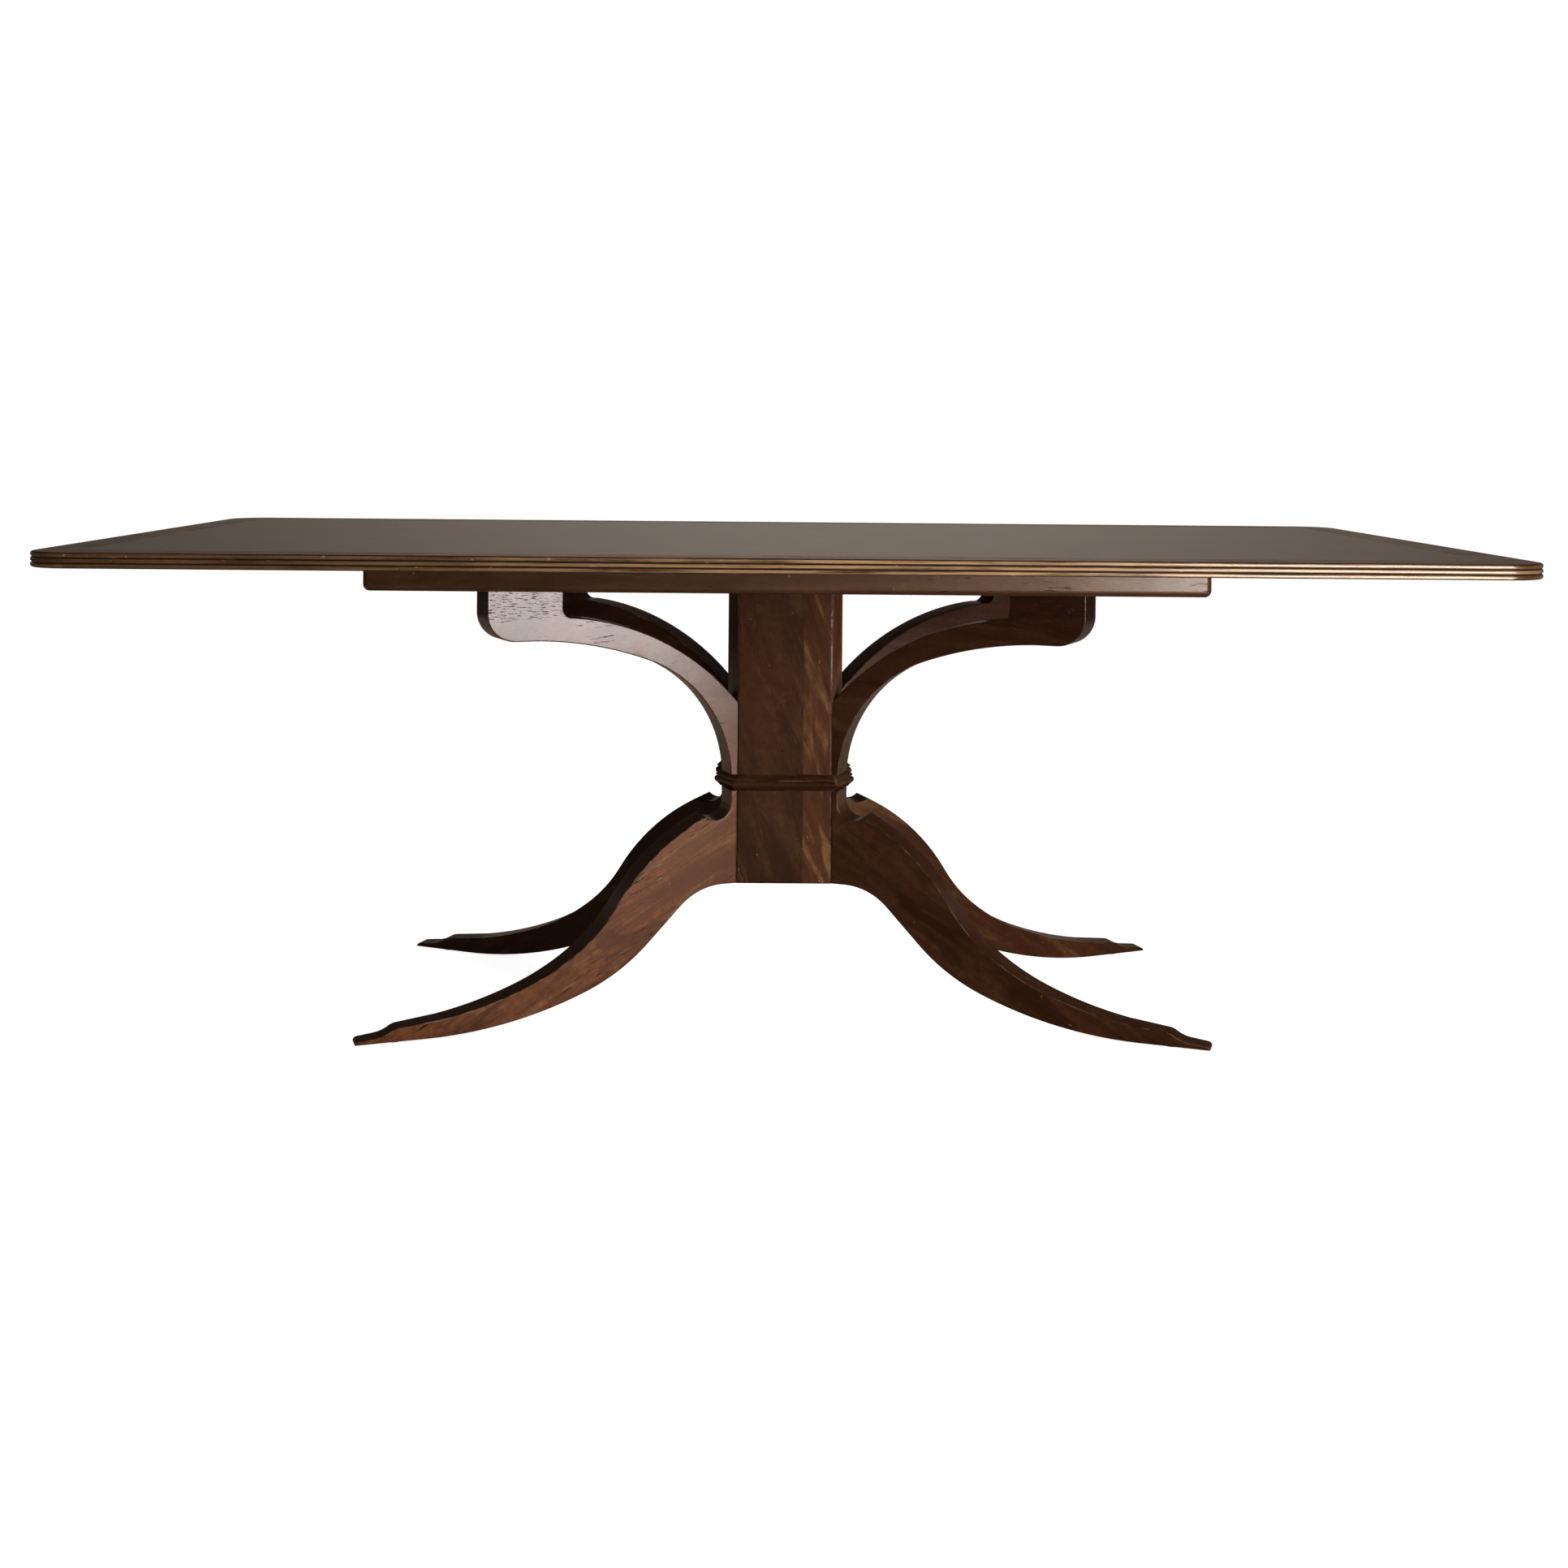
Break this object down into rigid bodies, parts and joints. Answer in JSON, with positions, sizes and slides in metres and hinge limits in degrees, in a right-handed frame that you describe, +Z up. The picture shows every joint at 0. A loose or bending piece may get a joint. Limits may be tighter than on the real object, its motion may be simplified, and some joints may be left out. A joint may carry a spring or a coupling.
{
  "type": "pedestal dining table",
  "caption": "Long rectangular wooden dining table with a reeded edge, an octagonal pedestal column with a moulded collar, scrolled arms under the top and splayed sabre legs.",
  "frame": {"origin": "on the floor, under the middle of the top", "axes": "+X to the right along the length of the top, -Y to the front, +Z up"},
  "size_m": [2.134, 1.067, 0.762],
  "materials": {
    "top_veneer": "satin lacquer",
    "edge_wood": "satin lacquer",
    "frame_wood": "satin lacquer",
    "base_wood": "satin lacquer",
    "inner_wood": "matt, sealed",
    "dowel_wood": "raw beech",
    "steel": "zinc plated",
    "felt": "felt"
  },
  "bodies": {
    "root": {"top_panel": "top_veneer", "front_edge_strip": "edge_wood", "right_edge_strip": "edge_wood", "rear_edge_strip": "edge_wood", "left_edge_strip": "edge_wood", "front_right_edge_corner": "edge_wood", "rear_right_edge_corner": "edge_wood", "rear_left_edge_corner": "edge_wood", "front_left_edge_corner": "edge_wood", "front_rail": "frame_wood", "rear_rail": "frame_wood", "right_end_rail": "frame_wood", "left_end_rail": "frame_wood", "right_bearer": "inner_wood", "left_bearer": "inner_wood", "front_wide_stave": "base_wood", "front_narrow_stave": "base_wood", "rear_stave": "base_wood", "right_stave": "base_wood", "left_stave": "base_wood", "front_right_stave": "base_wood", "rear_right_stave": "base_wood", "rear_left_stave": "base_wood", "front_left_stave": "base_wood", "column_foot_plate": "inner_wood", "column_head_block": "inner_wood", "column_head_plate": "inner_wood", "front_collar_strip": "base_wood", "rear_collar_strip": "base_wood", "right_collar_strip": "base_wood", "left_collar_strip": "base_wood", "front_right_collar_strip": "base_wood", "rear_right_collar_strip": "base_wood", "rear_left_collar_strip": "base_wood", "front_left_collar_strip": "base_wood", "front_right_arm": "base_wood", "front_right_arm_block": "base_wood", "front_right_leg": "base_wood", "rear_right_arm": "base_wood", "rear_right_arm_block": "base_wood", "rear_right_leg": "base_wood", "rear_left_arm": "base_wood", "rear_left_arm_block": "base_wood", "rear_left_leg": "base_wood", "front_left_arm": "base_wood", "front_left_arm_block": "base_wood", "front_left_leg": "base_wood", "leg_bolts": "steel", "leg_bolt_washers": "steel", "arm_dowels": "dowel_wood", "foot_pads": "felt", "top_screws": "steel", "head_plate_screws": "steel", "bearer_screws": "steel"}
  },
  "joints": []
}
